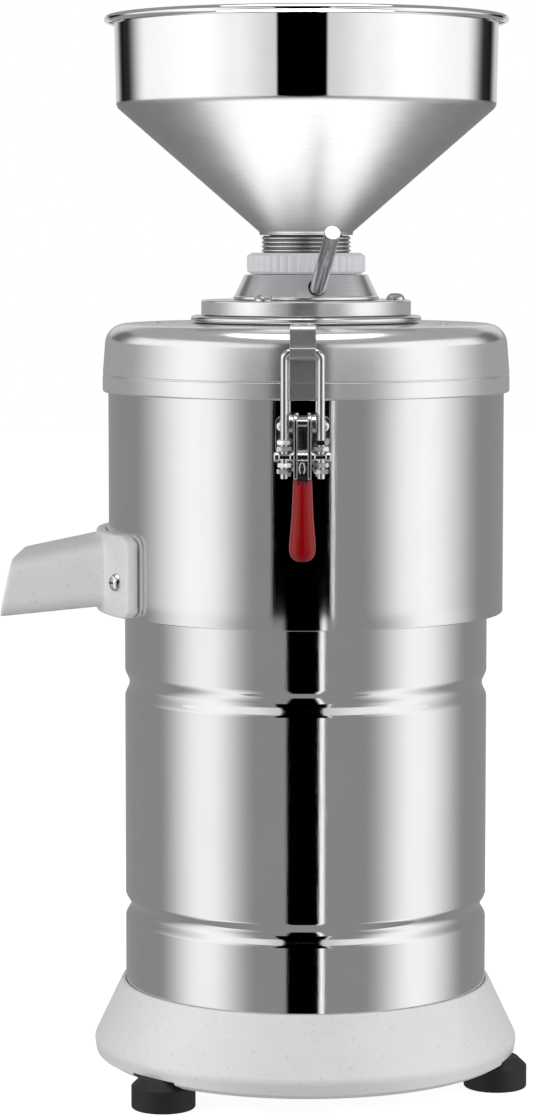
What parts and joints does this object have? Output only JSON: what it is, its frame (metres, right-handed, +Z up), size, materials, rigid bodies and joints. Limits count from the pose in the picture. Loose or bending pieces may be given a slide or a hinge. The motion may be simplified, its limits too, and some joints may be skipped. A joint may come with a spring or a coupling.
{
  "type": "peanut butter machine",
  "caption": "Upright table-top peanut butter machine: a stone mill over its own motor, with hopper, adjusting collar, latched lid and side spout.",
  "frame": {"origin": "on the floor, under the middle of the whole machine's length and depth; the upright machine axis stands at x = +0.020357 m, y = 0", "axes": "+Z up along the machine axis, -Y the front with its latch, -X the way the spout points"},
  "size_m": [0.2702, 0.2428, 0.5499],
  "materials": {
    "cast_aluminium": "sand cast, matt, light grey",
    "stainless": "rolled stainless sheet, satin to bright",
    "polished_steel": "spun stainless sheet, polished",
    "plated_steel": "bright zinc plate",
    "zinc_sheet": "dull zinc plate",
    "satin_aluminium": "spun, satin",
    "machined_aluminium": "turned, fine rings",
    "rubber": "matt black",
    "black_plastic": "moulded, fine texture",
    "nylon": "pale, slightly translucent",
    "red_vinyl": "dipped, glossy red",
    "millstone": "coarse abrasive stone",
    "core_iron": "stacked iron sheets",
    "copper": "varnished copper wire"
  },
  "bodies": {
    "root": {"adjuster_flange": "machined_aluminium", "base_casting": "cast_aluminium", "bottom_plate": "zinc_sheet", "cable_gland": "black_plastic", "chamber_floor": "cast_aluminium", "flange_ring": "stainless", "flange_screw_1": "plated_steel", "flange_screw_2": "plated_steel", "flange_screw_3": "plated_steel", "foot_bolt_front_left": "plated_steel", "foot_bolt_front_right": "plated_steel", "foot_bolt_rear": "plated_steel", "foot_front_left": "rubber", "foot_front_right": "rubber", "foot_rear": "rubber", "front_keeper": "stainless", "front_latch_base": "stainless", "front_latch_pin": "plated_steel", "grinding_housing": "stainless", "lid": "satin_aluminium", "lid_seal": "rubber", "lower_bearing": "plated_steel", "lower_end_shield": "cast_aluminium", "lower_winding": "copper", "motor_housing": "stainless", "rear_keeper": "stainless", "rear_latch_base": "stainless", "rear_latch_pin": "plated_steel", "shaft_seal": "rubber", "spout": "cast_aluminium", "spout_gasket": "rubber", "spout_screw_front": "plated_steel", "spout_screw_rear": "plated_steel", "stator_core": "core_iron", "switch_frame": "black_plastic", "tie_bolt_left": "plated_steel", "tie_bolt_right": "plated_steel", "upper_bearing": "plated_steel", "upper_winding": "copper"},
    "rotor": {"motor_shaft": "plated_steel", "rotor_core": "core_iron", "cooling_fan": "black_plastic", "stone_carrier": "cast_aluminium", "lower_stone": "millstone", "feed_screw": "polished_steel"},
    "collar": {"adjusting_collar": "machined_aluminium", "adjusting_lever": "plated_steel"},
    "neck": {"threaded_neck": "machined_aluminium", "upper_stone": "millstone"},
    "lock_ring": {"lock_ring": "nylon"},
    "hopper": {"hopper": "polished_steel"},
    "front_lever": {"front_latch_lever": "stainless", "front_latch_grip": "red_vinyl"},
    "front_bail": {"front_u_bolt": "plated_steel", "front_trunnion": "plated_steel"},
    "rear_lever": {"rear_latch_lever": "stainless", "rear_latch_grip": "red_vinyl"},
    "rear_bail": {"rear_u_bolt": "plated_steel", "rear_trunnion": "plated_steel"},
    "rocker": {"switch_rocker": "black_plastic"}
  },
  "joints": [
    {"name": "rotor_spin", "type": "hinge", "parent": "root", "child": "rotor", "pos_m": [0.02036, 0, 0.2], "axis": [0, 0, 1], "continuous": true},
    {"name": "collar_turn", "type": "hinge", "parent": "root", "child": "collar", "pos_m": [0.02036, 0, 0.4118], "axis": [0, 0, 1], "range_deg": [-270, 90]},
    {"name": "neck_slide", "type": "slide", "parent": "root", "child": "neck", "axis": [0, 0, 1], "range_m": [-0.00052, 0.00152]},
    {"name": "lock_ring_turn", "type": "hinge", "parent": "root", "child": "lock_ring", "pos_m": [0.02036, 0, 0.4238], "axis": [0, 0, 1], "range_deg": [0, 30]},
    {"name": "hopper_lift", "type": "slide", "parent": "neck", "child": "hopper", "axis": [0, 0, 1], "range_m": [0, 0.06]},
    {"name": "switch_rock", "type": "hinge", "parent": "root", "child": "rocker", "pos_m": [0.02036, 0.0912, 0.1493], "axis": [-1, 0, 0], "range_deg": [0, 20]},
    {"name": "front_lever_swing", "type": "hinge", "parent": "root", "child": "front_lever", "pos_m": [0.02036, -0.11, 0.3478], "axis": [-1, 0, 0], "range_deg": [0, 72]},
    {"name": "front_bail_swing", "type": "hinge", "parent": "front_lever", "child": "front_bail", "pos_m": [0.02036, -0.11, 0.3312], "axis": [-1, 0, 0], "range_deg": [-53, 0]},
    {"name": "rear_lever_swing", "type": "hinge", "parent": "root", "child": "rear_lever", "pos_m": [0.02036, 0.11, 0.3478], "axis": [1, 0, 0], "range_deg": [0, 72]},
    {"name": "rear_bail_swing", "type": "hinge", "parent": "rear_lever", "child": "rear_bail", "pos_m": [0.02036, 0.11, 0.3312], "axis": [1, 0, 0], "range_deg": [-53, 0]}
  ],
  "couplings": [
    {"joint": "neck_slide", "follows": "collar_turn", "m_per_rad": -0.00031831},
    {"joint": "front_bail_swing", "follows": "front_lever_swing", "ratio": -0.73},
    {"joint": "rear_bail_swing", "follows": "rear_lever_swing", "ratio": -0.73}
  ]
}
